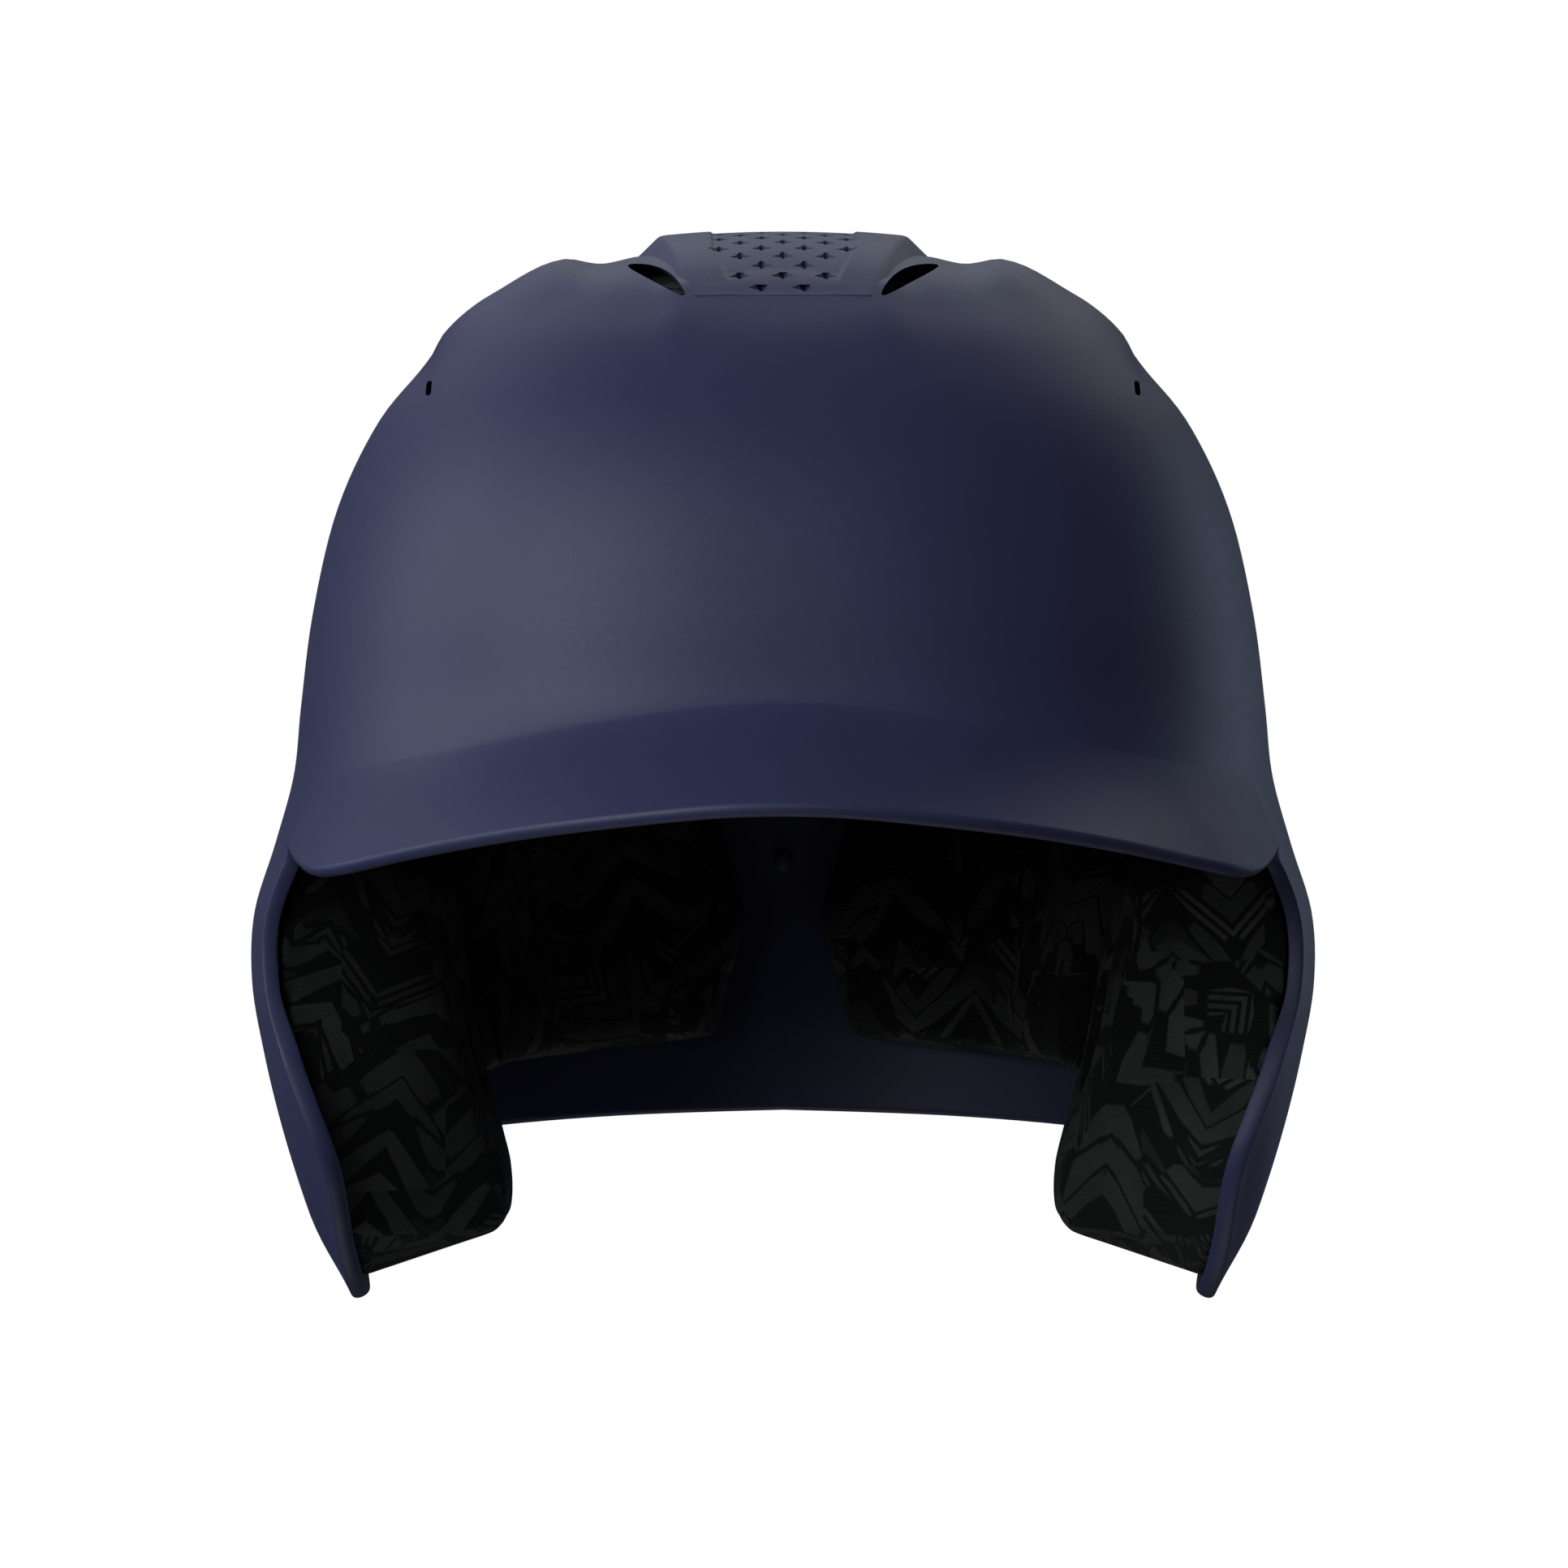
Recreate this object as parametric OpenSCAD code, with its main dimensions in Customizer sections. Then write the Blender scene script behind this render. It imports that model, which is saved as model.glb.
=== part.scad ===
// Batting helmet with two ear flaps: a moulded shell with a raised, vented crown,
// and eight pads. Each pad is a firm foam block, a comfort foam layer and a fabric
// cover, held to the shell by hook-and-loop patches.
// +Z is up, the brim points to -Y, and the origin is under the middle of the
// helmet at the height of the ear flaps' tips.

/* [Shell] */
// Greatest width across the ear flaps
shell_w = 233; // [205:1:245]
// Length from the brim's lip to the back of the shell
shell_l = 286; // [250:1:300]
// Height from the ear flaps' tips to the top of the crown
shell_h = 235; // [205:1:245]
// Wall thickness of the moulded shell
wall_t = 3.2; // [2.8:0.1:3.6]
// Thickness of the bead that stiffens the flaps' edges
bead_t = 4; // [4:0.5:7]

/* [Openings] */
// Width of the ear holes, front to back
ear_hole_w = 28; // [22:1:30]
// Height of the ear holes
ear_hole_h = 34; // [26:1:38]
// Height of the crescent vents' mouths beside the crown ridge
vent_h = 3.7; // [2.5:0.1:4]

/* [Pads] */
// Thickness of the soft comfort foam next to the head
soft_t = 7; // [5:0.5:8]
// Thickness of the fabric over the foam
cover_t = 1.2; // [1:0.1:1.6]
// Thickness of one hook patch or one loop patch
patch_t = 1; // [0.8:0.1:1.2]

/* [Hidden] */
// Each pad's name, its kind, and the side it is on: left is the wearer's, at +X
PADS = [["brow", "brow", 1], ["crown", "crown", 1],
        ["temple_left", "temple", 1], ["temple_right", "temple", -1],
        ["jaw_left", "jaw", 1], ["jaw_right", "jaw", -1],
        ["rear_left", "rear", 1], ["rear_right", "rear", -1]];
LAYERS = ["firm_foam", "comfort_foam", "cover"];

// The tables below describe a helmet of these sizes, and are scaled from them.
scale_x = shell_w / 233;
scale_y = shell_l / 286;
scale_z = shell_h / 235;
// The dome is lofted about an upright axis this far behind the middle
axis_y = 5;

// Level lines of the dome: height, half width, reach to the front, reach to the back
DOME = [
    [230, 0, 0, 0], [229, 27, 20, 30], [226.5, 46, 36, 50], [222, 61, 49.5, 64],
    [215, 71.5, 62, 79], [205, 79.5, 76.5, 94], [190, 90, 90.5, 108.5],
    [172, 98, 100.5, 120], [150, 103, 107, 129], [130, 105.5, 110.5, 134],
    [115, 107, 118, 136.5], [100, 111, 126, 137.5], [85, 115.5, 131, 137],
    [70, 116, 130, 135], [55, 113.5, 127, 132.5], [40, 110, 120, 131],
    [25, 105.5, 115, 130.5], [10, 100, 112, 130], [-5, 93, 110, 130]
];
// The same level lines on the head's side of the pads
HEAD = [
    [206, 0, 0, 0], [205, 18, 18, 22], [203, 31, 30, 38], [199, 43, 41, 51],
    [194, 50, 52, 63], [187, 57, 64, 76], [176, 65, 77, 90], [162, 71, 85.5, 99.5],
    [146, 75.5, 90.5, 105], [129, 77, 91.5, 108], [115, 77, 91, 109],
    [100, 76, 90, 109], [85, 74, 88, 108.5], [70, 71, 86, 107.5], [55, 68, 84, 107],
    [40, 64, 82, 106], [25, 60, 80, 105], [10, 60, 80, 105], [-5, 60, 80, 105]
];
// From this level down, the levels are 15 mm apart
WALL_LEVEL = 9;
LEVEL_STEP = 15;

// The shell's edge from the brim's lip, round a flap, to the back: azimuth that the
// column starts from, azimuth at the edge, height, and flare beyond the dome
EDGE = [
    [0, 0, 109.4, 26.7], [5, 5, 109, 25.8], [13, 13, 107.1, 21.4], [24, 24, 103.8, 14.6],
    [38, 38, 98.5, 9], [44, 44, 96.3, 9], [48, 48, 96.2, 8.2], [53, 53, 98, 6],
    [59, 59, 100.6, 3.4], [62.5, 63.2, 96.5, 0], [66.5, 65.4, 83, 0], [69.5, 65, 68, 0],
    [72, 62.2, 53, 0], [74.5, 60.3, 39, 0], [76, 60.5, 30, 0], [78, 63, 21, 0],
    [80, 66.5, 13.5, 0], [83, 71, 6.5, 0], [86.5, 77, 2.5, 0], [90, 84, 1.2, 0],
    [94.5, 92, 2.5, 0], [100, 100, 6, 0], [108, 110, 14.5, 0], [119, 122, 25, 0],
    [135, 138, 31, 0], [158, 160, 34.5, 0], [180, 180, 36, 0]
];
// The soft crease between the dome and the brim: its height over the nose, and how
// far it has dropped where it meets the flaps
CREASE_Z = 130;
CREASE_DROP = 23;
CREASE_END = 58;
// Share of a column that lies above the crease
CREASE_SHARE = 0.6;
UPPER_ROWS = 12;
LOWER_SHARES = [0.15, 0.3, 0.45, 0.6, 0.73, 0.84, 0.92, 0.955, 0.975, 1];
// The edge's bead starts at this share of the lower rows
BEAD_START = 0.96;
HALF_COLUMNS = 2 * (len(EDGE) - 1);
// Rows of EDGE where the bead is full: the flaps
FLAP_START = 12;
FLAP_END = 22;

// The crown ridge from its crest at the front to its end at the back:
// y, top height, half width of the top, half width of the base, base height
RIDGE = [
    [-54, 217, 19.2, 21.5, 212], [-40, 224.5, 21.6, 26, 218], [-26, 230, 23.8, 29.5, 222.5],
    [-10, 233.5, 26, 31.8, 225], [8, 235, 27.4, 32.7, 225.5], [30, 233.5, 27, 32.2, 224.5],
    [55, 229, 25, 30, 219.5], [78, 220.5, 21, 26, 211], [97, 207, 15, 20, 199]
];
// The ridge's edges are this much lower than its middle
RIDGE_CROWN = 1.4;
RIDGE_WALL = 3;
// The ends of a crescent vent's mouth, x and z: it runs straight back under the crown
VENT_IN = [21, 217];
VENT_OUT = [33.4, 225];
VENT_BOW = 1.1;
VENT_END_Y = -5;
// A side vent is an upright slit that runs straight back: its middle, the height
// between the middles of its round ends, and its width
SIDE_VENT = [76, -38, 197.9];
SIDE_VENT_H = 2.2;
SIDE_VENT_W = 1.3;
// Half sizes and height of the moulded pip inside the back of the shell
PIP = [2.2, 1.4, 2.8];
PIP_Z = 95;
// Middle of the ear holes: y and height
EAR = [16, 60];
// Room for the hook patch, the loop patch and the glue between shell and pad
PAD_GAP = 0.6;
pad_depth = wall_t + PAD_GAP + 2 * patch_t;

SHELL_COLOUR = [0.13, 0.15, 0.25];
FOAM_COLOUR = [0.16, 0.16, 0.17];
COMFORT_COLOUR = [0.26, 0.26, 0.28];
FABRIC_COLOUR = [0.05, 0.05, 0.055];
HOOK_COLOUR = [0.08, 0.08, 0.08];

function smooth(t) = let(c = max(0, min(1, t))) c * c * (3 - 2 * c);
function unit(v) = v / max(norm(v), 1e-9);
function mix(a, b, t) = a + (b - a) * t;
function row(table, i) = table[max(0, min(len(table) - 1, i))];

// A smooth curve through the rows of a table, at row number u
function spline(table, u) =
    let(i = floor(u), t = u - i)
    let(a = row(table, i - 1), b = row(table, i), c = row(table, i + 1), d = row(table, i + 2))
    0.5 * (2 * b + (c - a) * t + (2 * a - 5 * b + 4 * c - d) * t * t
           + (3 * b - a - 3 * c + d) * t * t * t);

// Distance from the axis to an oval level line, rounder at the crown than lower down
function reach(level, azimuth, u) =
    let(n = 2 + 0.4 * smooth(u / WALL_LEVEL))
    let(length = cos(azimuth) > 0 ? level[2] : level[3])
    level[1] < 1e-6 ? 0 : pow(pow(abs(sin(azimuth)) / level[1], n)
                              + pow(abs(cos(azimuth)) / length, n), -1 / n);

function place(azimuth, r, z) =
    [scale_x * r * sin(azimuth), scale_y * (axis_y - r * cos(azimuth)), scale_z * z];

// A point of a lofted surface at an azimuth from the nose and a level number
function on(table, azimuth, u, flare = 0) =
    let(level = spline(table, u)) place(azimuth, reach(level, azimuth, u) + flare, level[0]);

function level_of(z) = WALL_LEVEL + (DOME[WALL_LEVEL][0] - z) / LEVEL_STEP;
function crease_level(azimuth) =
    level_of(CREASE_Z - CREASE_DROP * smooth(azimuth / CREASE_END));

// A point of the shell's outer face: edge row s, and share t of the way to the edge
function shell_point(s, side, t) =
    let(e = spline(EDGE, s), u0 = crease_level(e[0]), q = (t - CREASE_SHARE) / (1 - CREASE_SHARE))
    q <= 0 ? on(DOME, side * e[0], u0 * t / CREASE_SHARE)
           : on(DOME, side * mix(e[0], e[1], pow(q, 2.5)), mix(u0, level_of(max(0, e[2])), q),
                max(0, e[3]) * pow(q, 1.25));

SHELL_T = concat([for (i = [1:UPPER_ROWS]) CREASE_SHARE * i / UPPER_ROWS],
                 [for (q = LOWER_SHARES) CREASE_SHARE + (1 - CREASE_SHARE) * q]);
SHELL_COLUMNS = [for (c = [0:2 * HALF_COLUMNS - 1])
    c <= HALF_COLUMNS ? [c / 2, 1] : [HALF_COLUMNS - c / 2, -1]];
OUTER = [for (t = SHELL_T) [for (c = SHELL_COLUMNS)
    shell_point(c[0], c[1], t)]];

// Wall thickness at a column and row: the flaps' edges have a bead
function thickness(s, t) =
    let(q = (t - CREASE_SHARE) / (1 - CREASE_SHARE))
    let(on_flap = smooth(s - FLAP_START + 1) * smooth((FLAP_END - s) / 3 + 0.3))
    wall_t + (bead_t - wall_t) * on_flap * smooth((q - BEAD_START + 0.01) / 0.015);

// The unit vector into the shell at row j and column c of the outer face
function inward(j, c) =
    let(n = len(OUTER[0]), along = OUTER[j][(c + 1) % n] - OUTER[j][(c + n - 1) % n])
    let(down = OUTER[min(j + 1, len(OUTER) - 1)][c] - (j == 0 ? place(0, 0, DOME[0][0]) : OUTER[j - 1][c]))
    unit(cross(along, down));

INNER = [for (j = [0:len(OUTER) - 1]) [for (c = [0:len(OUTER[0]) - 1])
    OUTER[j][c] + inward(j, c) * thickness(SHELL_COLUMNS[c][0], SHELL_T[j])]];

// A closed solid from rings of points, with a point at each end
module skin(rings, first, last) {
    n = len(rings[0]);
    m = len(rings);
    points = concat([first], [for (r = rings) each r], [last]);
    faces = concat(
        [for (c = [0:n - 1]) [0, 1 + (c + 1) % n, 1 + c]],
        [for (j = [0:m - 2]) for (c = [0:n - 1])
            let(a = 1 + j * n + c, b = 1 + j * n + (c + 1) % n) each [[a, b, a + n], [b, b + n, a + n]]],
        [for (c = [0:n - 1]) [1 + m * n, 1 + (m - 1) * n + c, 1 + (m - 1) * n + (c + 1) % n]]);
    polyhedron(points, faces);
}

module bare_shell() {
    rings = concat(OUTER, [for (j = [len(INNER) - 1:-1:0]) INNER[j]]);
    skin(rings, place(0, 0, DOME[0][0]), place(0, 0, DOME[0][0] - wall_t));
}

// A bar along the crown: the ridge itself, or the air channel inside it
module crown_bar(inset, drop) {
    sections = [for (r = RIDGE)
        let(y = scale_y * r[0], top = scale_z * r[1] - inset, w = r[2] - inset * 0.8, b = r[3] - inset)
        let(base = scale_z * r[4] - drop)
        [[-b, y, base], [b, y, base], [b, y, base + (top - base) * 0.3],
         [w, y, top - RIDGE_CROWN], [w / 2, y, top - RIDGE_CROWN / 4], [0, y, top],
         [-w / 2, y, top - RIDGE_CROWN / 4], [-w, y, top - RIDGE_CROWN],
         [-b, y, base + (top - base) * 0.3]]];
    front = sections[0];
    back = sections[len(sections) - 1];
    skin(sections, (front[0] + front[5]) / 2, (back[0] + back[5]) / 2);
}

// Points of a crescent between two ends, bowed upwards
function crescent(a, b, bow, width) =
    let(n = 10, across = unit([b[1] - a[1], a[0] - b[0]]))
    let(middle = [for (i = [0:n]) mix(a, b, i / n) - across * bow * sin(180 * i / n)])
    let(half = [for (i = [0:n]) width / 2 * pow(sin(180 * (i + 0.35) / (n + 0.7)), 0.6)])
    concat([for (i = [0:n]) middle[i] + across * half[i]],
           [for (i = [n:-1:0]) middle[i] - across * half[i]]);

module vents() {
    for (side = [1, -1]) scale([side * scale_x, scale_y, scale_z]) {
        translate([0, VENT_END_Y, 0]) rotate([90, 0, 0])
            linear_extrude(70) polygon(crescent(VENT_IN, VENT_OUT, VENT_BOW, vent_h));
        translate(SIDE_VENT) rotate([90, 0, 0])
            hull() for (end = [1, -1])
                translate([0, end * SIDE_VENT_H / 2, 0])
                    cylinder(h = 24, d = SIDE_VENT_W, center = true, $fn = 12);
    }
}

module pip() {
    back = on(DOME, 180, level_of(PIP_Z));
    translate(back - [0, wall_t, 0]) scale(PIP) sphere(r = 1, $fn = 20);
}

// Ear hole cutter on one side, larger than the hole by a margin
module ear_cut(side, margin) {
    translate([side * 40, scale_y * EAR[0], scale_z * EAR[1]]) rotate([0, side * 90, 0])
        scale([ear_hole_h / 2 + margin, ear_hole_w / 2 + margin, 1]) cylinder(h = 100, r = 1, $fn = 28);
}

module outer_shell() {
    color(SHELL_COLOUR) resize([0, 0, 0]) difference() {
        union() {
            bare_shell();
            crown_bar(0, 0);
            pip();
        }
        crown_bar(RIDGE_WALL, 6);
        vents();
        ear_cut(1, 0);
        ear_cut(-1, 0);
    }
}

// Outline of a pad: azimuth and level for shares p across and q down, on the shell's
// side (back) or the head's side
function brow_at(p, q, back) =
    let(lift = back ? 0 : 3)
    [mix(-40 + lift, 40 - lift, p), mix(7.6, 9.95, q) + (back ? 0 : mix(0.2, -0.2, q))];
function crown_at(p, q, back) =
    let(x = 2 * p - 1, y = 2 * q - 1, r = sqrt(x * x + y * y - x * x * y * y * 0.6))
    [atan2(x, -y), r * (back ? 3.6 : 3.3)];
function temple_at(p, q, back) =
    let(lift = back ? 0 : 3)
    [mix(47 + lift, 122 - lift, p), mix(7.3, 10.6, q) + (back ? 0 : mix(0.2, -0.2, q))];
function jaw_at(p, q, back) =
    let(lean = smooth((q - 0.36) / 0.3) * (1 - smooth((q - 0.78) / 0.24)))
    let(edge = mix(65.8 - 3.5 * lean, 119, p), foot = 3 + 0.028 * pow(edge - 86, 2))
    let(low = back ? foot : max(foot, 14) + 1)
    [back ? edge : mix(77, 117, p), mix(level_of(back ? 99 : 96), level_of(low), q)];
function rear_at(p, q, back) =
    let(lift = back ? 0 : 2, waist = abs(q - 0.6))
    let(gap = 3.2 + lift + 9 * waist, foot = mix(52, 45, p) + (back ? 0 : 2))
    [180 - mix(gap, 56 - lift, p), mix(level_of(back ? 124 : 121), level_of(foot), q)];

function outline(kind, p, q, back) =
    kind == "brow" ? brow_at(p, q, back)
    : kind == "crown" ? crown_at(p, q, back)
    : kind == "temple" ? temple_at(p, q, back)
    : kind == "jaw" ? jaw_at(p, q, back)
    : rear_at(p, q, back);

// A point on the dome, moved into the shell by a depth
function under(azimuth, u, depth) =
    let(e = 0.02, a = abs(u) < 0.05 ? [0, 0, -1] :
        unit(cross(on(DOME, azimuth + 0.5, u) - on(DOME, azimuth - 0.5, u),
                   on(DOME, azimuth, u + e) - on(DOME, azimuth, u - e))))
    on(DOME, azimuth, u) + a * depth;

// A point of a pad: shares p and q of its outline, and distance in from its face
function pad_point(kind, p, q, depth) =
    let(b = outline(kind, p, q, true), h = outline(kind, p, q, false))
    let(back = under(b[0], b[1], pad_depth), face = on(HEAD, h[0], h[1]))
    depth < 0 ? back : face + unit(back - face) * depth;

// Cells across and down a pad
PAD_CELLS = [9, 6];

// A grid of a pad's points at one depth, with its outline drawn in by a margin
function pad_grid(kind, depth, margin) =
    let(size = norm(pad_point(kind, 1, 0.5, 0) - pad_point(kind, 0, 0.5, 0)),
        height = norm(pad_point(kind, 0.5, 1, 0) - pad_point(kind, 0.5, 0, 0)))
    let(dp = margin / size, dq = margin / height)
    [for (j = [0:PAD_CELLS[1]]) for (i = [0:PAD_CELLS[0]])
        pad_point(kind, mix(dp, 1 - dp, i / PAD_CELLS[0]), mix(dq, 1 - dq, j / PAD_CELLS[1]), depth)];

function cell(i, j) = i + j * (PAD_CELLS[0] + 1);
PERIMETER = let(n = PAD_CELLS[0], m = PAD_CELLS[1])
    concat([for (i = [0:n - 1]) cell(i, 0)], [for (j = [0:m - 1]) cell(n, j)],
           [for (i = [n:-1:1]) cell(i, m)], [for (j = [m:-1:1]) cell(0, j)]);
GRID = (PAD_CELLS[0] + 1) * (PAD_CELLS[1] + 1);

// Triangles of a grid whose first point is number k, facing the head or the shell
function grid_faces(k, to_head) =
    [for (j = [0:PAD_CELLS[1] - 1]) for (i = [0:PAD_CELLS[0] - 1])
        let(a = k + cell(i, j), b = k + cell(i + 1, j), c = k + cell(i + 1, j + 1), d = k + cell(i, j + 1))
        each (to_head ? [[a, d, c], [a, c, b]] : [[a, c, d], [a, b, c]])];

// Triangles between the borders of two grids
function border_faces(k, l) =
    [for (e = [0:len(PERIMETER) - 1])
        let(a = PERIMETER[e], b = PERIMETER[(e + 1) % len(PERIMETER)])
        each [[k + a, k + b, l + b], [k + a, l + b, l + a]]];

// A foam layer between two depths, the second of which may be the pad's back
module foam_layer(kind, depth, back_depth) {
    polyhedron(concat(pad_grid(kind, depth, cover_t), pad_grid(kind, back_depth, cover_t)),
               concat(grid_faces(0, true), grid_faces(GRID, false), border_faces(0, GRID)));
}

// The fabric over a pad's face and down its sides to the back
module fabric_skin(kind) {
    grids = concat(pad_grid(kind, 0, 0), pad_grid(kind, -1, 0),
                   pad_grid(kind, -1, cover_t), pad_grid(kind, cover_t, cover_t));
    used = concat(grid_faces(0, true), border_faces(0, GRID), border_faces(GRID, 2 * GRID),
                  border_faces(2 * GRID, 3 * GRID), grid_faces(3 * GRID, false));
    polyhedron(grids, used);
}

// A foam layer, with the way through to the ear in the jaw pads
module foam(kind, depth, back_depth) {
    if (kind == "jaw")
        resize([0, 0, 0]) difference() {
            foam_layer(kind, depth, back_depth);
            ear_cut(1, cover_t);
        }
    else
        foam_layer(kind, depth, back_depth);
}

module firm_foam(kind) {
    color(FOAM_COLOUR) foam(kind, cover_t + soft_t, -1);
}

module comfort_foam(kind) {
    color(COMFORT_COLOUR) foam(kind, cover_t, cover_t + soft_t);
}

// The fabric cover; a jaw pad's also lines the ear opening
module cover(kind) {
    color(FABRIC_COLOUR)
        if (kind == "jaw")
            resize([0, 0, 0]) difference() {
                union() {
                    fabric_skin(kind);
                    intersection() {
                        foam_layer(kind, cover_t / 2, -1);
                        ear_cut(1, cover_t);
                    }
                }
                ear_cut(1, 0);
            }
        else
            fabric_skin(kind);
}

module pad_piece(pad, layer) {
    mirror([pad[2] < 0 ? 1 : 0, 0, 0]) {
        if (layer == LAYERS[0]) firm_foam(pad[1]);
        if (layer == LAYERS[1]) comfort_foam(pad[1]);
        if (layer == LAYERS[2]) cover(pad[1]);
    }
}

// Azimuth and level of the patches' middles on each kind of pad
function patch_places(kind) =
    kind == "brow" ? [[-24, 8.6], [24, 8.6]]
    : kind == "crown" ? [[-90, 2.2], [90, 2.2]]
    : kind == "temple" ? [[62, 8.8], [106, 8.8]]
    : kind == "jaw" ? [[76, 11.9], [80, 16.2]]
    : [[140, 11], [165, 11.8]];
PATCH_SIZE = [11, 0.75];

// A thin patch on the pad's side of the shell wall, from a depth
module patch(azimuth, u, depth) {
    n = 4;
    points = [for (d = [depth + patch_t, depth]) for (j = [0:n]) for (i = [0:n])
        under(azimuth + PATCH_SIZE[0] * (i / n - 0.5), u + PATCH_SIZE[1] * (j / n - 0.5), d)];
    size = (n + 1) * (n + 1);
    faces = [for (k = [0, size]) for (j = [0:n - 1]) for (i = [0:n - 1])
        let(a = k + i + j * (n + 1), b = a + 1, d = a + n + 1, c = d + 1)
        k == 0 ? [a, d, c, b] : [a, b, c, d]];
    border = concat([for (i = [0:n - 1]) i], [for (j = [0:n - 1]) n + j * (n + 1)],
                    [for (i = [n:-1:1]) i + n * (n + 1)], [for (j = [n:-1:1]) j * (n + 1)]);
    sides = [for (e = [0:len(border) - 1])
        let(a = border[e], b = border[(e + 1) % len(border)]) [a, b, b + size, a + size]];
    polyhedron(points, concat(faces, sides));
}

module patches(depth) {
    for (pad = PADS) mirror([pad[2] < 0 ? 1 : 0, 0, 0])
        for (at = patch_places(pad[1])) patch(at[0], at[1], depth);
}

module hook_patches() {
    color(HOOK_COLOUR) patches(wall_t + PAD_GAP / 2);
}

module loop_patches() {
    color(HOOK_COLOUR) patches(wall_t + PAD_GAP / 2 + patch_t);
}

outer_shell();
for (pad = PADS) for (layer = LAYERS)
    pad_piece(pad, layer);
hook_patches();
loop_patches();
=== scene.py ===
"""The looks of the batting helmet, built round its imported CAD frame.

Shapes are worked out in millimetres, in the CAD's own frame: +Z up, the brim towards -Y,
and turned into metres when a mesh is made. The lofting tables are the CAD's.
"""

import math

import bmesh
import bpy
import numpy as np
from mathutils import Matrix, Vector


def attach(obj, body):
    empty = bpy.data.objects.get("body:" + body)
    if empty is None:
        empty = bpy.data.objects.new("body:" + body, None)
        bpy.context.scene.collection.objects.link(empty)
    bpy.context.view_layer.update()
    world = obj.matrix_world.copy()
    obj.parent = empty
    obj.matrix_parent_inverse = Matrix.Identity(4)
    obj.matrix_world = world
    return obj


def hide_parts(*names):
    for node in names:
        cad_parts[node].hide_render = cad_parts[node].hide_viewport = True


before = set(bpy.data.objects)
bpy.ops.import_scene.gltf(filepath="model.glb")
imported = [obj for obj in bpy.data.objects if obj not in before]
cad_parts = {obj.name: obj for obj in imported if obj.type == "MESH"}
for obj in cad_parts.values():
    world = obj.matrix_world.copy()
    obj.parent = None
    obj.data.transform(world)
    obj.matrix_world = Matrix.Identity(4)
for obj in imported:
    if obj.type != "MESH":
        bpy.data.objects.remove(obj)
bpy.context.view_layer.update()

MM = 0.001

# ---------------------------------------------------------------- sizes, in millimetres
# Thicknesses: the shell, its bead along the flaps' edges, comfort foam, cover, one patch
WALL, BEAD, SOFT, COVER, PATCH = 3.2, 4.0, 7.0, 1.2, 1.0
# Room for glue between the shell and a pad
PAD_GAP = 0.6
# From the shell's outer face to a pad's back
PAD_DEPTH = WALL + PAD_GAP + 2 * PATCH
# The lofts' upright axis stands at x = 0 and this y
AXIS_Y = 5.0
# The ear holes: their middle, width and height
EAR_Y, EAR_Z, EAR_W, EAR_H = 16.0, 60.0, 28.0, 34.0

# Level lines: height, half width, reach to the front, reach to the back
DOME = np.array([
    [230, 0, 0, 0], [229, 27, 20, 30], [226.5, 46, 36, 50], [222, 61, 49.5, 64],
    [215, 71.5, 62, 79], [205, 79.5, 76.5, 94], [190, 90, 90.5, 108.5],
    [172, 98, 100.5, 120], [150, 103, 107, 129], [130, 105.5, 110.5, 134],
    [115, 107, 118, 136.5], [100, 111, 126, 137.5], [85, 115.5, 131, 137],
    [70, 116, 130, 135], [55, 113.5, 127, 132.5], [40, 110, 120, 131],
    [25, 105.5, 115, 130.5], [10, 100, 112, 130], [-5, 93, 110, 130]])
# The space for the head, in the same columns and with as many levels
HEAD = np.array([
    [206, 0, 0, 0], [205, 18, 18, 22], [203, 31, 30, 38], [199, 43, 41, 51],
    [194, 50, 52, 63], [187, 57, 64, 76], [176, 65, 77, 90], [162, 71, 85.5, 99.5],
    [146, 75.5, 90.5, 105], [129, 77, 91.5, 108], [115, 77, 91, 109],
    [100, 76, 90, 109], [85, 74, 88, 108.5], [70, 71, 86, 107.5], [55, 68, 84, 107],
    [40, 64, 82, 106], [25, 60, 80, 105], [10, 60, 80, 105], [-5, 60, 80, 105]])
# From this row down, the levels are this far apart
WALL_LEVEL, LEVEL_STEP = 9, 15.0
# The shell's edge: azimuth of the column, azimuth at the edge, height, flare
EDGE = np.array([
    [0, 0, 109.4, 26.7], [5, 5, 109, 25.8], [13, 13, 107.1, 21.4], [24, 24, 103.8, 14.6],
    [38, 38, 98.5, 9], [44, 44, 96.3, 9], [48, 48, 96.2, 8.2], [53, 53, 98, 6],
    [59, 59, 100.6, 3.4], [62.5, 63.2, 96.5, 0], [66.5, 65.4, 83, 0], [69.5, 65, 68, 0],
    [72, 62.2, 53, 0], [74.5, 60.3, 39, 0], [76, 60.5, 30, 0], [78, 63, 21, 0],
    [80, 66.5, 13.5, 0], [83, 71, 6.5, 0], [86.5, 77, 2.5, 0], [90, 84, 1.2, 0],
    [94.5, 92, 2.5, 0], [100, 100, 6, 0], [108, 110, 14.5, 0], [119, 122, 25, 0],
    [135, 138, 31, 0], [158, 160, 34.5, 0], [180, 180, 36, 0]], float)
# The crease over the brim: its height at the nose, how far it drops by an azimuth, and the
# share of each column of points that lies above it
CREASE_Z, CREASE_DROP, CREASE_END, CREASE_SHARE = 130.0, 14.0, 58.0, 0.6
# The rows of EDGE where the flaps' bead starts and ends
FLAP_START, FLAP_END = 12, 22
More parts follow.
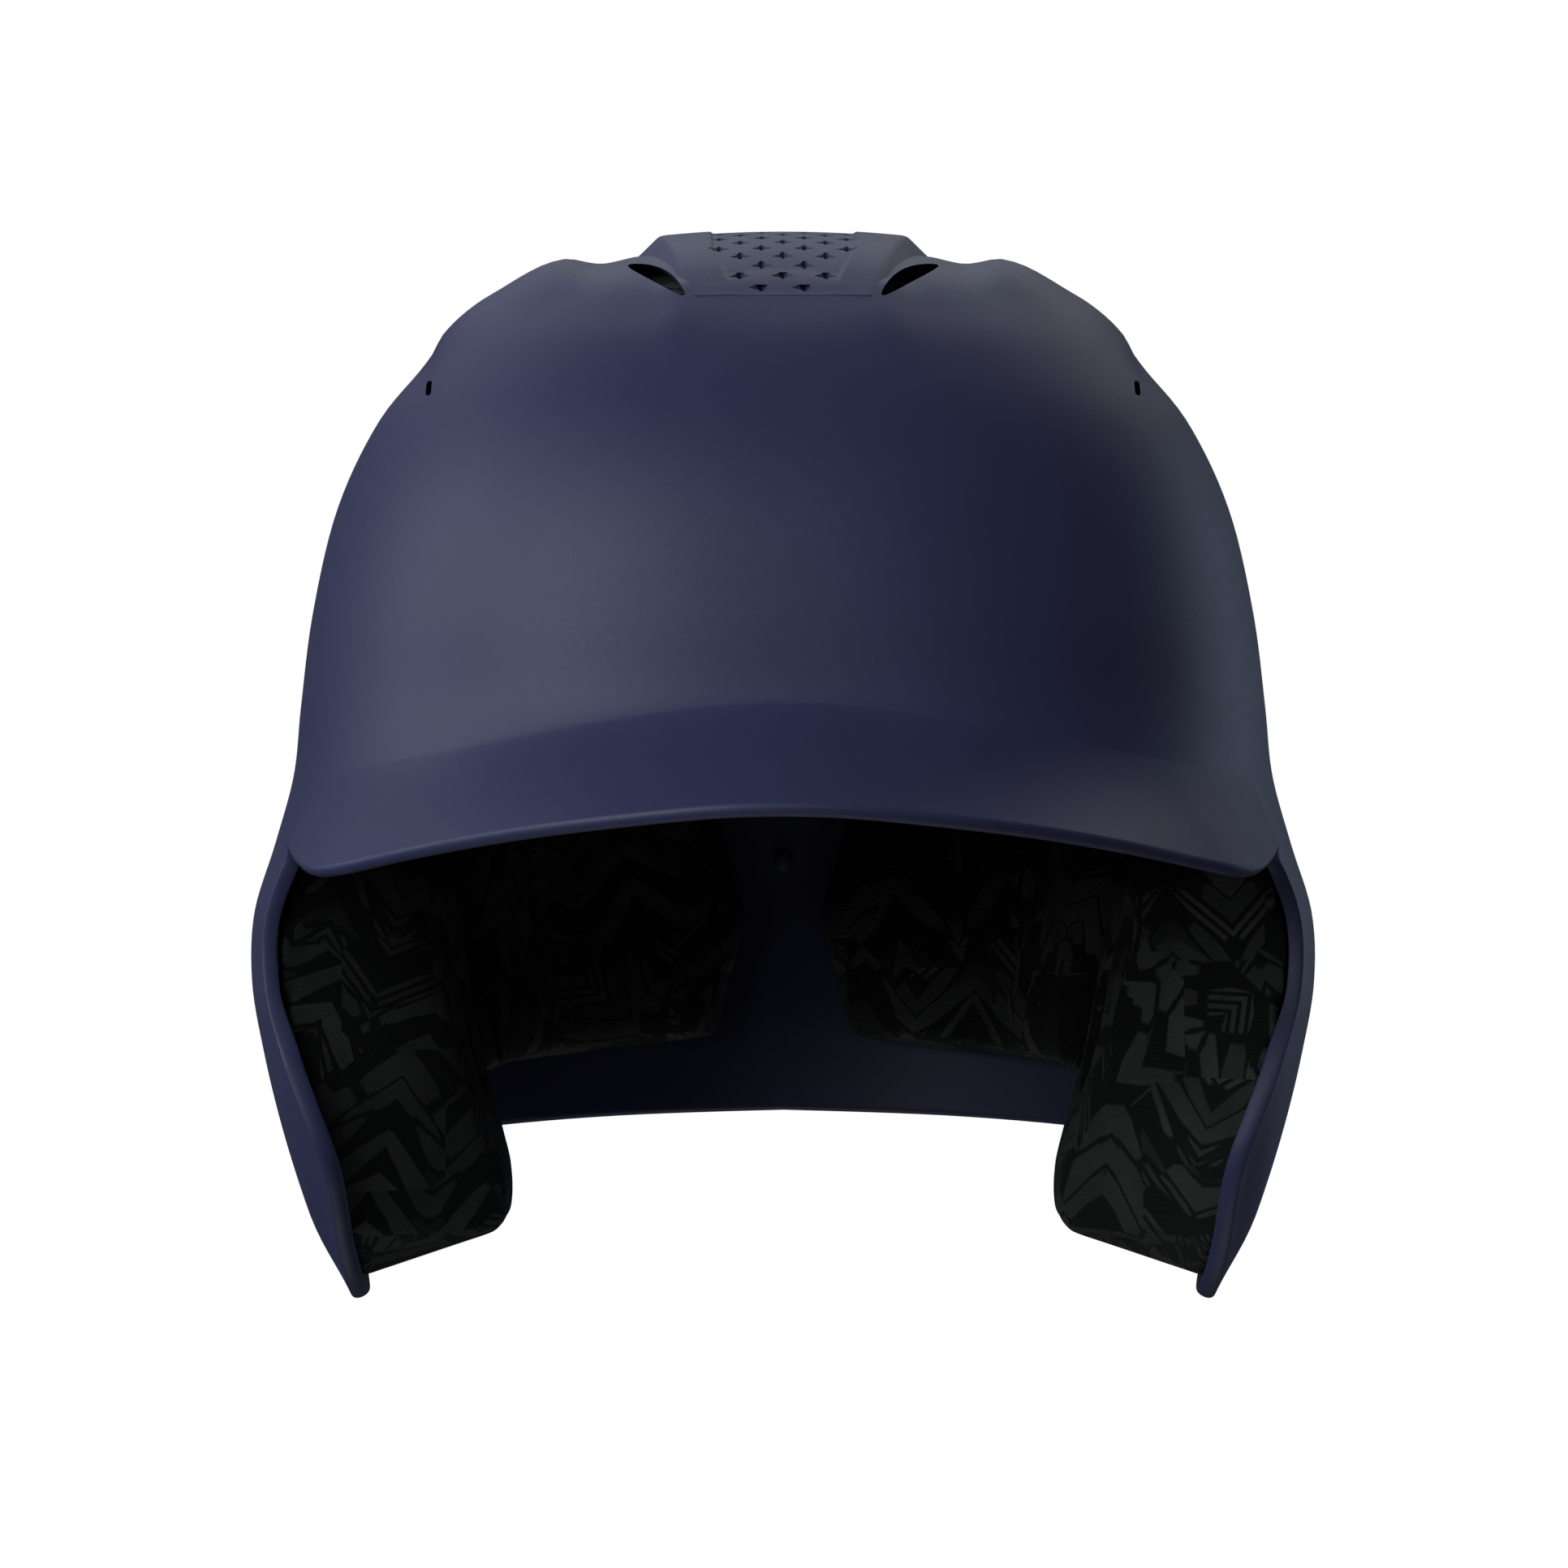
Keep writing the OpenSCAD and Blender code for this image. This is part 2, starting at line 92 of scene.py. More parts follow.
# The crown ridge: y, top height, half width of the top and of the base, base height
RIDGE = np.array([
    [-54, 217, 19.2, 21.5, 212], [-40, 224.5, 21.6, 26, 218], [-26, 230, 23.8, 29.5, 222.5],
    [-10, 233.5, 26, 31.8, 225], [8, 235, 27.4, 32.7, 225.5], [30, 233.5, 27, 32.2, 224.5],
    [55, 229, 25, 30, 219.5], [78, 220.5, 21, 26, 211], [97, 207, 15, 20, 199]])
# How much its middle stands above its edges, its wall, and how far its channel reaches down
RIDGE_CROWN, RIDGE_WALL, CHANNEL_DROP = 1.4, 3.0, 6
# Depth of the strip that holds the dimples
SUNK = 0.5
# A crescent vent: its two ends as x and z, its bow and width, and how far it runs along y
VENT_IN, VENT_OUT, VENT_BOW, VENT_H = [21, 217], [33.4, 225], 1.1, 3.7
VENT_FRONT, VENT_END = -75, -5
# A side vent: an upright slit
SIDE_VENT_X, SIDE_VENT_Y, SIDE_VENT_LOW, SIDE_VENT_HIGH, SIDE_VENT_R = 76, -38, 196.8, 199, 0.65
# The dimples' staggered lattice: first row, step along the ridge and across it, and rows
STAR_FIRST, STAR_STEP, STAR_ACROSS, STAR_ROWS = -51, 5.5, 4.6, 26
# A dimple's levels from its floor up: reach of its points, reach of its waist, height
STAR_LEVELS = [(0.7, 0.3, -1.5), (1.5, 0.6, -1.1), (2.0, 0.85, -0.35), (2.5, 1.2, 0.1), (3.2, 1.8, 1.2)]
STAR_SIDES = 16
# The boss inside the back: how high up it is, half its width and half its length
PIP_Z, PIP_W, PIP_L = 95, 2.2, 2.8
# Frames of cloth simulation that a cover gets
CLOTH_FRAMES = 20


# ---------------------------------------------------------------- curves and surfaces
def smooth(t):
    t = np.clip(t, 0, 1)
    return t * t * (3 - 2 * t)


def hump(v, start, rise, end, fall):
    """0 up to start, 1 once risen, and back to 0 past end."""
    return smooth((v - start) / rise) * (1 - smooth((v - end) / fall))


def mix(a, b, t):
    return a + (b - a) * t


def unit(v):
    return v / np.maximum(np.linalg.norm(v, axis=-1, keepdims=True), 1e-9)


def spline(table, u):
    """A smooth curve through a table's rows, at row numbers u."""
    u = np.asarray(u, float)
    i = np.floor(u).astype(int)
    t = (u - i)[..., None]
    a, b, c, d = (table[np.clip(i + k, 0, len(table) - 1)] for k in (-1, 0, 1, 2))
    return 0.5 * (2 * b + (c - a) * t + (2 * a - 5 * b + 4 * c - d) * t**2
                  + (3 * b - a - 3 * c + d) * t**3)


def on(table, azimuth, u, flare=0.0):
    """Points of a lofted surface, at azimuths from the nose and level numbers."""
    azimuth, u = np.broadcast_arrays(np.asarray(azimuth, float), np.asarray(u, float))
    level = spline(table, u)
    a = np.radians(azimuth)
    n = 2 + 0.4 * smooth(u / WALL_LEVEL)
    length = np.where(np.cos(a) > 0, level[..., 2], level[..., 3])
    w, length = np.maximum(level[..., 1], 1e-6), np.maximum(length, 1e-6)
    r = ((np.abs(np.sin(a)) / w) ** n + (np.abs(np.cos(a)) / length) ** n) ** (-1 / n) + flare
    return np.stack([r * np.sin(a), AXIS_Y - r * np.cos(a), level[..., 0]], axis=-1)


def level_of(z):
    """The level number of a height on the wall, below the crown."""
    return WALL_LEVEL + (DOME[WALL_LEVEL, 0] - z) / LEVEL_STEP


def normals(points):
    """Unit vectors into the helmet, for a grid of rows down by columns all the way round."""
    along = np.roll(points, -1, 1) - np.roll(points, 1, 1)
    return unit(np.cross(along, np.gradient(points, axis=0)))


# ---------------------------------------------------------------- making meshes
def make(name, points, faces):
    """A new object from points in millimetres."""
    mesh = bpy.data.meshes.new(name)
    mesh.from_pydata((np.asarray(points) * MM).tolist(), [], [list(map(int, f)) for f in faces])
    mesh.validate()
    o = bpy.data.objects.new(name, mesh)
    bpy.context.collection.objects.link(o)
    return o


def face_out(o):
    """Turns a closed mesh's faces outwards."""
    b = bmesh.new()
    b.from_mesh(o.data)
    bmesh.ops.recalc_face_normals(b, faces=b.faces)
    b.to_mesh(o.data)
    b.free()


def skin(name, rings, first, last):
    """A closed solid from rings of points, with a point at each end."""
    rings = [np.asarray(r) for r in rings]
    n, m = len(rings[0]), len(rings)
    points = np.concatenate([[first], *rings, [last]])
    c = np.arange(n)
    c1 = (c + 1) % n
    faces = [(0, 1 + i, 1 + j) for i, j in zip(c, c1)]
    for k in range(m - 1):
        base = 1 + k * n
        faces += [(base + i, base + n + i, base + n + j, base + j) for i, j in zip(c, c1)]
    base = 1 + (m - 1) * n
    faces += [(1 + m * n, base + j, base + i) for i, j in zip(c, c1)]
    o = make(name, points, faces)
    face_out(o)
    return o


def bake(o):
    """Applies o's modifiers."""
    mesh = bpy.data.meshes.new_from_object(o.evaluated_get(bpy.context.evaluated_depsgraph_get()))
    old = o.data
    o.modifiers.clear()
    o.data = mesh
    mesh.name = o.name
    bpy.data.meshes.remove(old)


def combine(o, other, operation):
    """Cuts or joins another closed solid, which is then removed."""
    m = o.modifiers.new("cut", "BOOLEAN")
    m.operation, m.solver, m.object = operation, "MANIFOLD", other
    before = len(o.data.vertices)
    bake(o)
    if len(o.data.vertices) == 0:
        raise RuntimeError(f"{operation} of {other.name} left nothing of {before} points")
    bpy.data.objects.remove(other)


def shade(o, angle):
    o.data.shade_smooth()
    o.data.set_sharp_from_angle(angle=math.radians(angle))


# ---------------------------------------------------------------- the shell
def crease_level(azimuth):
    """The crease's level number at an azimuth."""
    return level_of(CREASE_Z - CREASE_DROP * smooth(azimuth / CREASE_END))


def lobes(p):
    """How far the crown's shoulders stand above the dome, or it dips beside them."""
    x, y = np.abs(p[..., 0]), p[..., 1]
    shoulder = hump(x, 40.5, 8, 50, 14)
    valley = hump(x, 32, 6, 39, 5)
    outside = hump(x, 74.5, 2.5, 78, 10)
    along = hump(y, -44, 30, 45, 55)
    crown = (2.1 * shoulder - 0.6 * valley - 1.3 * outside) * along * smooth((p[..., 2] - 185) / 12)
    # In front of the ridge the dome is flat from side to side
    front = hump(y, -76, 18, -50, 8) * (1 - smooth((x - 21) / 10))
    return crown + 0.0024 * np.minimum(x, 22) ** 2 * front


COLUMNS_A_ROW = 8
HALF = np.linspace(0, len(EDGE) - 1, COLUMNS_A_ROW * (len(EDGE) - 1) + 1)
COLUMN_S = np.concatenate([HALF, HALF[-2:0:-1]])
COLUMN_SIDE = np.concatenate([np.ones(len(HALF)), -np.ones(len(HALF) - 2)])


def outer_grid(shares):
    """The outer face: a ring of points for each share of the way from the crown to the edge."""
    e = spline(EDGE, COLUMN_S)[None, :, :]
    u0 = crease_level(e[..., 0])
    t = shares[:, None]
    q = np.clip((t - CREASE_SHARE) / (1 - CREASE_SHARE), 0, 1)
    azimuth = mix(e[..., 0], e[..., 1], q**2.5)
    # Behind the brim the edge ends a little higher, to leave room for its rounding
    height = np.maximum(0, e[..., 2]) + 0.9 * smooth((COLUMN_S - 9) / 3)
    u = np.where(t <= CREASE_SHARE, u0 * t / CREASE_SHARE, mix(u0, level_of(height), q))
    flare = np.maximum(0, e[..., 3]) * q**1.25
    # The lower half of a flap's edge rolls in towards the jaw
    lower = hump(COLUMN_S, 12, 3, 21, 3)
    roll = 1.8 * lower * smooth((q - 0.84) / 0.16) ** 1.4
    p = on(DOME, azimuth * COLUMN_SIDE, u, flare - roll)
    p[..., 2] += lobes(p)
    return p


def build_shell():
    """The moulding without its ridge and holes: one wall, from the crown to a rounded edge."""
    upper = np.linspace(0, CREASE_SHARE, 64)[1:]
    # Below the crease, the last 7% of the way to the edge has closer rows
    q = np.concatenate([np.linspace(0, 0.93, 42)[1:], 0.93 + 0.07 * np.linspace(0, 1, 12)[1:]])
    shares = np.concatenate([upper, CREASE_SHARE + (1 - CREASE_SHARE) * q])
    outer = outer_grid(shares)
    inward = normals(outer)
    s = COLUMN_S[None, :]
    qq = np.clip((shares - CREASE_SHARE) / (1 - CREASE_SHARE), 0, 1)[:, None]
    # The bead: the wall thickens just short of the flaps' edges
    on_flap = smooth(s - FLAP_START + 1) * smooth((FLAP_END - s) / 3 + 0.3)
    thick = WALL + (BEAD - WALL) * on_flap * smooth((qq - 0.955) / 0.02)
    inner = outer + inward * thick[..., None]
    # The edge is rounded: half an oval from the outer face to the inner one
    out = unit(outer[-1] - outer[-2])
    lip = []
    for angle in np.radians([22, 45, 68, 90, 112, 135, 158]):
        lip.append(outer[-1] + inward[-1] * thick[-1][:, None] * (1 - math.cos(angle)) / 2
                   + out * 1.1 * math.sin(angle))
    rings = list(outer) + lip + list(inner[::-1])
    return skin("outer_shell_moulding", rings, [0, 0, 230], [0, 0, 230 - WALL])


def ridge_crown(y):
    """How much lower the ridge's edges are than its middle: it is flat at the front."""
    return RIDGE_CROWN * (0.1 + 0.9 * smooth((y + 54) / 40))


def strip_width(y):
    """Half width of the sunken strip that holds the dimples."""
    return np.interp(y, [-54, -46, -31, -10, 8, 60, 97], [9.6, 11.8, 15, 15.6, 15.6, 14, 9])


def ridge_profile(row, inset, drop, sunk=0.0):
    """One cross-section of the crown ridge, from its base at +X over the top to the other side."""
    y, top, w, b, base = row
    top, w, b, base = top - inset, w - inset * 0.8, b - inset, base - drop
    crown = ridge_crown(y)
    edge = top - crown
    foot = max(base + 0.5, edge - (b - w))
    if inset == 0:
        # The flank slants on to below the dome, so that the two meet in one clean line
        b, foot, base = b + 2.5, foot - 2.5, min(base, foot - 3)
    shoulder = [(b, base), (b, foot), (mix(b, w, 0.1), mix(foot, edge, 0.12)),
                (mix(b, w, 0.5), mix(foot, edge, 0.5)), (w + 0.7, edge - 0.75),
                (w + 0.25, edge - 0.36), (w - 0.25, edge - 0.1), (w - 0.9, edge + 0.05)]
    s = strip_width(y) if inset == 0 else w - 3
    sunk = sunk * smooth((y + 56) / 12)

    def level(x):
        """The height of the ridge's top, before the strip is sunk into it."""
        return top - crown * (x / w) ** 2

    across = [(x, level(x)) for x in np.linspace(w - 1.8, s + 1.1, 4)]
    across += [(s + 0.45, level(s) - sunk * 0.08), (s + 0.1, level(s) - sunk * 0.5),
               (s - 0.25, level(s) - sunk * 0.92)]
    across += [(x, level(x) - sunk) for x in np.linspace(s - 0.9, 0, 7)]
    half = shoulder + across
    mirrored = [(-x, z) for x, z in half[:-1]]
    return [(x, y, z) for x, z in half + mirrored[::-1]]


def ridge_bar(name, inset, drop, sunk=0.0):
    """The crown ridge as a solid bar, or the channel inside it where inset is its wall."""
    rows = [spline(RIDGE, u) for u in np.linspace(0, len(RIDGE) - 1, 97)]
    rings = [ridge_profile(r, inset, drop, sunk) for r in rows]
    middle = [np.mean(r, axis=0) for r in (rings[0], rings[-1])]
    return skin(name, rings, *middle)


def crescent(a, b, bow, width, n=24):
    """The outline of a bowed sliver from a to b, in a plane."""
    a, b = np.array(a, float), np.array(b, float)
    across = unit(np.array([b[1] - a[1], a[0] - b[0]]))
    t = np.linspace(0, 1, n + 1)
    middle = mix(a, b, t[:, None]) - across * bow * np.sin(np.pi * t)[:, None]
    halfw = width / 2 * np.sin(np.pi * (t * n + 0.35) / (n + 0.7)) ** 0.6
    return np.concatenate([middle + across * halfw[:, None], (middle - across * halfw[:, None])[::-1]])


def vent_cutter(side):
    """A crescent vent's cutter, which runs straight back under the crown."""
    x, z = crescent(VENT_IN, VENT_OUT, VENT_BOW, VENT_H).T
    rings = [np.column_stack([side * x, np.full(len(x), y), z]) for y in (VENT_FRONT, VENT_END)]
    return skin("crown_vent", rings, rings[0].mean(axis=0), rings[1].mean(axis=0))


def ear_cutter(side, margin=0.0, flare=1.0):
    """The ear hole's cutter, with a rounded mouth at the shell's outer face."""
    a = np.linspace(0, 2 * np.pi, 64, endpoint=False)
    # Where the shell's outer face is at the hole, which is about 112 mm from the middle
    mouth = float(on(DOME, 90 + math.degrees(math.atan2(EAR_Y - AXIS_Y, 112)), level_of(EAR_Z))[0])
    rings = []
    for x, grow in [(40, 0), (mouth - 2.4, 0), (mouth - 1.6, 0.25), (mouth - 0.9, 0.8),
                    (mouth - 0.2, 1.8), (mouth + 0.6, 3.2), (mouth + 3, 6.5), (mouth + 12, 9)]:
        grow = grow * flare
        rings.append(np.column_stack([np.full(64, side * x),
                                      EAR_Y + (EAR_W / 2 + margin + grow) * np.cos(a),
                                      EAR_Z + (EAR_H / 2 + margin + grow) * np.sin(a)]))
    return skin("ear_cutter", rings, [side * 40, EAR_Y, EAR_Z], [side * (mouth + 12), EAR_Y, EAR_Z])


def capsule(name, a, b, r, along, n=32):
    """A slot cutter: a stadium from a to b in the plane across `along`, pushed through."""
    a, b, along = (np.array(v, float) for v in (a, b, along))
    run = unit(b - a)
    up = unit(np.cross(along, run))
    ring = [(b if math.cos(t) > 0 else a) + r * (math.cos(t) * run + math.sin(t) * up)
            for t in np.linspace(0, 2 * np.pi, n, endpoint=False) + 0.01]
    rings = [np.array(ring) - along, np.array(ring) + along]
    return skin(name, rings, (a + b) / 2 - along, (a + b) / 2 + along)


def star_centres():
    """The ridge's dimples: a staggered lattice as wide as the sunken strip allows."""
    found = []
    for k in range(STAR_ROWS):
        y = STAR_FIRST + STAR_STEP * k
        for i in range(-4, 5):
            x = STAR_ACROSS * i
            if (i + k) % 2 and abs(x) <= strip_width(y) - 1.0:
                found.append((x, y))
    return found


def ridge_top(x, y):
    """The height of the sunken strip's floor."""
    rows = spline(RIDGE, np.linspace(0, len(RIDGE) - 1, 400))
    top, w = (np.interp(y, rows[:, 0], rows[:, k]) for k in (1, 2))
    return float(top - ridge_crown(y) * (x / w) ** 2 - SUNK)


def star(x, y, size, waist):
    """A four-point star, pointing along and across the ridge, with soft points."""
    angles = np.linspace(0, 2 * np.pi, STAR_SIDES, endpoint=False)
    shoulder = mix(size, waist, 0.72)
    r = np.tile([size, shoulder, waist, shoulder], STAR_SIDES // 4)
    return np.column_stack([x + r * np.cos(angles), y + r * np.sin(angles)])


def star_cutters():
    """All the dimples' cutters as one mesh of separate solids."""
    points, faces = [], []
    n, m = STAR_SIDES, len(STAR_LEVELS)
    for x, y in star_centres():
        z = ridge_top(x, y)
        base = len(points)
        rings = [np.column_stack([star(x, y, size, waist), np.full(n, z + dz)])
                 for size, waist, dz in STAR_LEVELS]
        points += [(x, y, z - 1.6)] + [tuple(p) for ring in rings for p in ring] + [(x, y, z + 1.2)]
        first, last = base + 1, base + 1 + (m - 1) * n
        for i in range(n):
            j = (i + 1) % n
            faces.append((base, first + j, first + i))
            for k in range(first, last, n):
                faces.append((k + i, k + j, k + n + j, k + n + i))
            faces.append((last + n, last + i, last + j))
    o = make("star_cutters", points, faces)
    face_out(o)
    return o


def pip():
    """A small oval boss on the inside of the back."""
    a = np.linspace(0, 2 * np.pi, 24, endpoint=False)
    wall = on(DOME, 180.0, level_of(PIP_Z))[1] - WALL
    rings = [np.column_stack([PIP_W * r * np.cos(a), np.full(24, wall - d), PIP_Z + PIP_L * r * np.sin(a)])
             for r, d in ((1.0, -1.5), (1.0, 0.2), (0.93, 0.75), (0.75, 1.1), (0.4, 1.3))]
    return skin("pip", rings, [0, wall + 1.5, PIP_Z], [0, wall - 1.35, PIP_Z])


def finish_shell():
    """The whole moulding: ridge, air channel, dimples, vents, ear holes and boss."""
    shell = build_shell()
    combine(shell, ridge_bar("crown_ridge", 0, 0, SUNK), "UNION")
    combine(shell, ridge_bar("air_channel", RIDGE_WALL, CHANNEL_DROP), "DIFFERENCE")
    combine(shell, star_cutters(), "DIFFERENCE")
    for side in (1, -1):
        combine(shell, vent_cutter(side), "DIFFERENCE")
        low, high = ([side * SIDE_VENT_X, SIDE_VENT_Y, z] for z in (SIDE_VENT_LOW, SIDE_VENT_HIGH))
        combine(shell, capsule("side_vent", low, high, SIDE_VENT_R, [0, 12, 0]), "DIFFERENCE")
        combine(shell, ear_cutter(side), "DIFFERENCE")
    combine(shell, pip(), "UNION")
    # Keeps the ridge's edges sharp, and the dome and its flanks smooth
    shade(shell, 29)
    return shell


# ---------------------------------------------------------------- the pads
def pad_outline(kind, p, q, back):
    """Azimuth in degrees and level number, on the shell's side or the head's, as in the CAD.

    p runs round the head and q down it, each from 0 to 1.
    """
    lift = 0 if back else 3
    if kind == "brow":
        return mix(-40 + lift, 40 - lift, p), mix(7.6, 9.95, q) + (0 if back else mix(0.2, -0.2, q))
    if kind == "crown":
        x, y = 2 * p - 1, 2 * q - 1
        r = np.sqrt(x * x + y * y - 0.6 * x * x * y * y)
        return np.degrees(np.arctan2(x, -y)), r * (3.6 if back else 3.3)
    if kind == "temple":
        return mix(47 + lift, 122 - lift, p), mix(7.3, 10.6, q) + (0 if back else mix(0.2, -0.2, q))
    if kind == "jaw":
        lean = hump(q, 0.36, 0.3, 0.78, 0.24)
        edge = mix(65.8 - 3.5 * lean, 119, p)
        foot = 3 + 0.028 * (edge - 86) ** 2
        low = level_of(foot) if back else level_of(np.maximum(foot, 14) + 1)
        return (edge if back else mix(77, 117, p)), mix(level_of(99 if back else 96), low, q)
    lift = 0 if back else 2
    gap = 3.2 + lift + 9 * np.abs(q - 0.6)
    foot = mix(52, 45, p) + lift
    return 180 - mix(gap, 56 - lift, p), mix(level_of(124 if back else 121), level_of(foot), q)


def under(azimuth, u, depth):
    """Points on the dome, moved into the shell by a depth."""
    e = 0.02
    n = unit(np.cross(on(DOME, azimuth + 0.5, u) - on(DOME, azimuth - 0.5, u),
                      on(DOME, azimuth, u + e) - on(DOME, azimuth, np.maximum(u - e, 0))))
    n = np.where((np.abs(u) < 0.05)[..., None], [0, 0, -1.0], n)
    return on(DOME, azimuth, u) + n * depth


def pad_points(kind, p, q, depth):
    """Points of a pad at a depth in from its face, or on its back where depth is None."""
    back = under(*pad_outline(kind, p, q, True), PAD_DEPTH)
    if depth is None:
        return back
    face = on(HEAD, *pad_outline(kind, p, q, False))
    return face + unit(back - face) * np.asarray(depth)[..., None]


def pad_size(kind):
    """A pad's width and height through the middle of its face."""

    def at(p, q):
        return pad_points(kind, np.float64(p), np.float64(q), 0.0)

    return np.linalg.norm(at(1, 0.5) - at(0, 0.5)), np.linalg.norm(at(0.5, 1) - at(0.5, 0))


def slab(name, kind, side, depth, back_depth, margin, rounding, cells=(40, 28), snug=0.0):
    """A pad's layer as a closed solid, with its face rounded off towards the border.

    The border of its back comes closer to the shell by snug. The layer starts at a depth in
    from the pad's face and ends at back_depth, or at the pad's back where that is None.
    """
    w, h = pad_size(kind)
    # The points are closer together near the border, where the face turns down
    pi, qi = (0.5 - 0.5 * np.cos(np.pi * np.linspace(0, 1, n + 1)) for n in cells)
    p = mix(margin / w, 1 - margin / w, pi)[None, :].repeat(len(qi), 0)
    q = mix(margin / h, 1 - margin / h, qi)[:, None].repeat(len(pi), 1)
    dx, dy = np.minimum(p, 1 - p) * w - margin, np.minimum(q, 1 - q) * h - margin
    r = rounding
    near = np.sqrt(np.maximum(0, r - dx) ** 2 + np.maximum(0, r - dy) ** 2)
    turn = r - np.sqrt(np.maximum(0, r * r - np.minimum(near, r) ** 2))
    face = pad_points(kind, p, q, depth + turn)
    back = pad_points(kind, p, q, back_depth if back_depth is None else np.full_like(p, back_depth))
    if snug:
        closer = snug * (1 - smooth(np.minimum(dx, dy) / 6))
        back += unit(back - face) * closer[..., None]
    n, m = len(pi), len(qi)
    index = np.arange(n * m).reshape(m, n)
    border = np.concatenate([index[0, :-1], index[:-1, -1], index[-1, :0:-1], index[:0:-1, 0]])
    cut = [0.3, 0.6]
    between = [mix(face.reshape(-1, 3)[border], back.reshape(-1, 3)[border], c) for c in cut]
    points = np.concatenate([face.reshape(-1, 3), back.reshape(-1, 3), *between])
    quads = [(a, b, c, d) for a, b, c, d in zip(index[:-1, :-1].ravel(), index[:-1, 1:].ravel(),
                                                index[1:, 1:].ravel(), index[1:, :-1].ravel())]
    faces = quads + [tuple(n * m + i for i in f[::-1]) for f in quads]
    k = len(border)
    loops = [border, 2 * n * m + np.arange(k), 2 * n * m + k + np.arange(k), n * m + border]
    for top, low in zip(loops, loops[1:]):
        for i in range(k):
            j = (i + 1) % k
            faces.append((top[i], low[i], low[j], top[j]))
    points[:, 0] *= side
    o = make(name, points, faces)
    face_out(o)
    return o


def open_ear(o, side, margin):
    """Cuts the way through to the ear in a jaw pad's layer."""
    combine(o, ear_cutter(side, margin, flare=0), "DIFFERENCE")


def remesh(o, voxel):
    """Rebuilds a solid from even faces, a voxel wide, for the cloth simulation."""
    m = o.modifiers.new("remesh", "REMESH")
    m.mode, m.voxel_size = "VOXEL", voxel * MM
    bake(o)


def coords(mesh):
    co = np.empty(len(mesh.vertices) * 3)
    mesh.vertices.foreach_get("co", co)
    return co.reshape(-1, 3)


def puff(o, pressure, cap, hold):
    """Blows fabric up a little by cloth simulation; hold(points) pins what is glued."""
    rest = coords(o.data)
    held = hold(rest / MM)
    group = o.vertex_groups.new(name="held")
    for i in np.nonzero(held)[0]:
        group.add([int(i)], 1.0, "REPLACE")
    m = o.modifiers.new("cloth", "CLOTH")
    c = m.settings
    c.quality, c.mass = 5, 0.3
    c.tension_stiffness = c.compression_stiffness = 18
    c.shear_stiffness, c.bending_stiffness = 8, 0.6
    c.use_pressure, c.uniform_pressure_force = True, pressure
    c.effector_weights.gravity = 0
    c.vertex_group_mass = "held"
    m.point_cache.frame_start, m.point_cache.frame_end = 1, CLOTH_FRAMES
    scene = bpy.context.scene
    for f in range(1, CLOTH_FRAMES + 1):
        scene.frame_set(f)
        moved = o.evaluated_get(bpy.context.evaluated_depsgraph_get())
    now = coords(moved.data)
    scene.frame_set(1)
    o.modifiers.remove(m)
    step = now - rest
    length = np.linalg.norm(step, axis=1, keepdims=True)
    step *= np.minimum(1, cap * MM / np.maximum(length, 1e-9))
    o.data.vertices.foreach_set("co", (rest + step).ravel())
    o.vertex_groups.clear()
    o.data.update()


def subdivide(o):
    m = o.modifiers.new("smooth", "SUBSURF")
    m.levels = m.render_levels = 1
    bake(o)


def cover(kind, side, name):
    """A pad's fabric cover over its foam."""
    o = slab(name, kind, side, depth=0.6, back_depth=None, margin=0.6, rounding=4.5, snug=2.0)
    if kind == "jaw":
        open_ear(o, side, margin=0)
    remesh(o, voxel=2.1)

    def glued(points):
        """Which points lie against the shell, where the patches hold the pad."""
        r = np.hypot(points[:, 0], points[:, 1] - AXIS_Y)
        level_z = np.clip(points[:, 2], -5, 130)
        azimuth = np.degrees(np.arctan2(np.abs(points[:, 0]), AXIS_Y - points[:, 1]))
        wall = np.linalg.norm((on(DOME, azimuth, level_of(level_z)) - [0, AXIS_Y, 0])[:, :2], axis=1)
        return (wall - r < PAD_DEPTH + 3) & (points[:, 2] < 130)

    puff(o, pressure=4.0, cap=1.6, hold=glued)
    subdivide(o)
    return o


# ---------------------------------------------------------------- materials
def material(name):
    m = bpy.data.materials.new(name)
    m.use_nodes = True
    tree = m.node_tree
    return m, tree, tree.nodes["Principled BSDF"]


